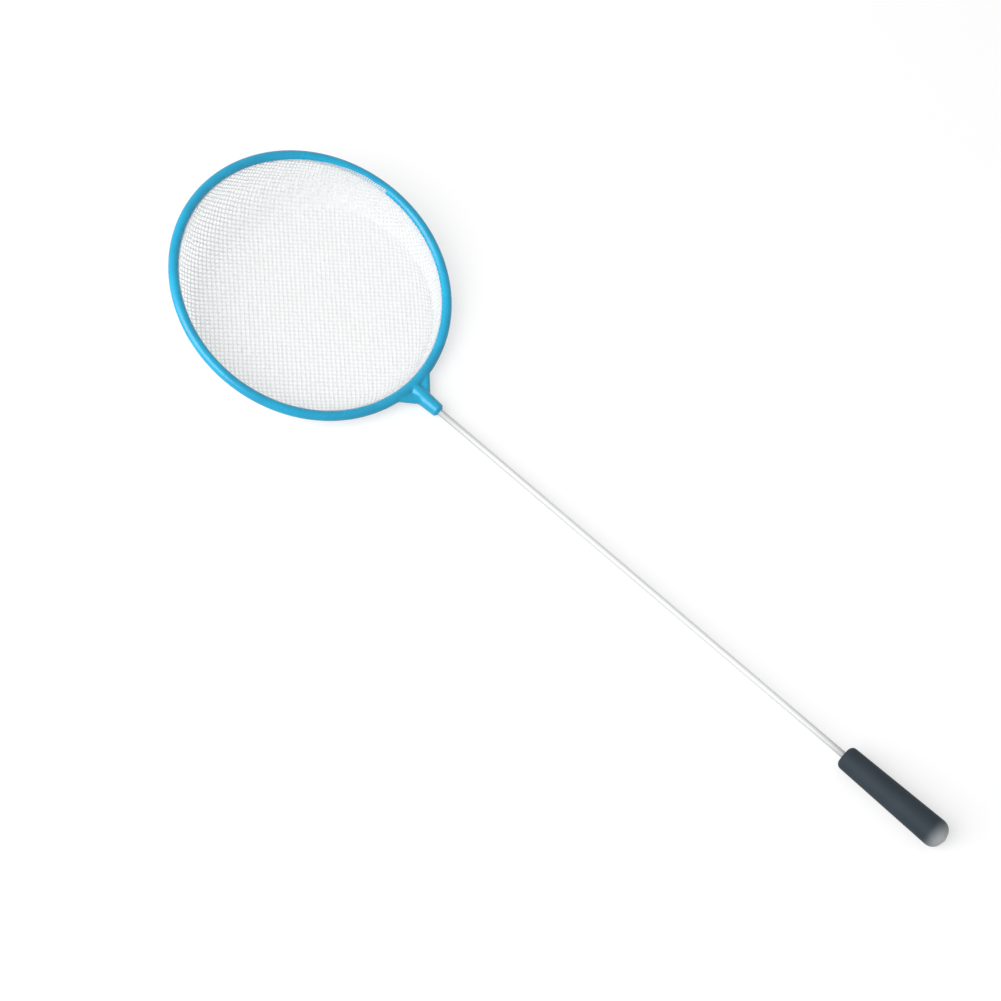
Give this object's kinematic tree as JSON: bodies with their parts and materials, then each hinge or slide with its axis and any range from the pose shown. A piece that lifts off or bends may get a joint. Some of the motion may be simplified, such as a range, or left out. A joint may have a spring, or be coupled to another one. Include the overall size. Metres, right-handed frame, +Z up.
{
  "type": "aquarium fish net",
  "caption": "Round hand net for an aquarium: a plastic hoop with a shallow mesh bag, on a slim steel rod with a soft rubber grip.",
  "frame": {"origin": "middle of the whole net's outline, on the surface that it rests on", "axes": "+X runs level from the hoop towards the grip, +Z points up out of the bag's mouth, +Y completes a right-handed frame"},
  "size_m": [0.4968, 0.15, 0.0322],
  "materials": {
    "hoop_plastic": "moulded, glossy",
    "net_mesh": "soft white knitted mesh",
    "rod_steel": "drawn, bright",
    "grip_rubber": "matt"
  },
  "bodies": {
    "root": {"hoop_front": "hoop_plastic", "hoop_back": "hoop_plastic", "net_hem": "net_mesh", "net_bag": "net_mesh", "rod": "rod_steel", "grip": "grip_rubber"}
  },
  "joints": []
}
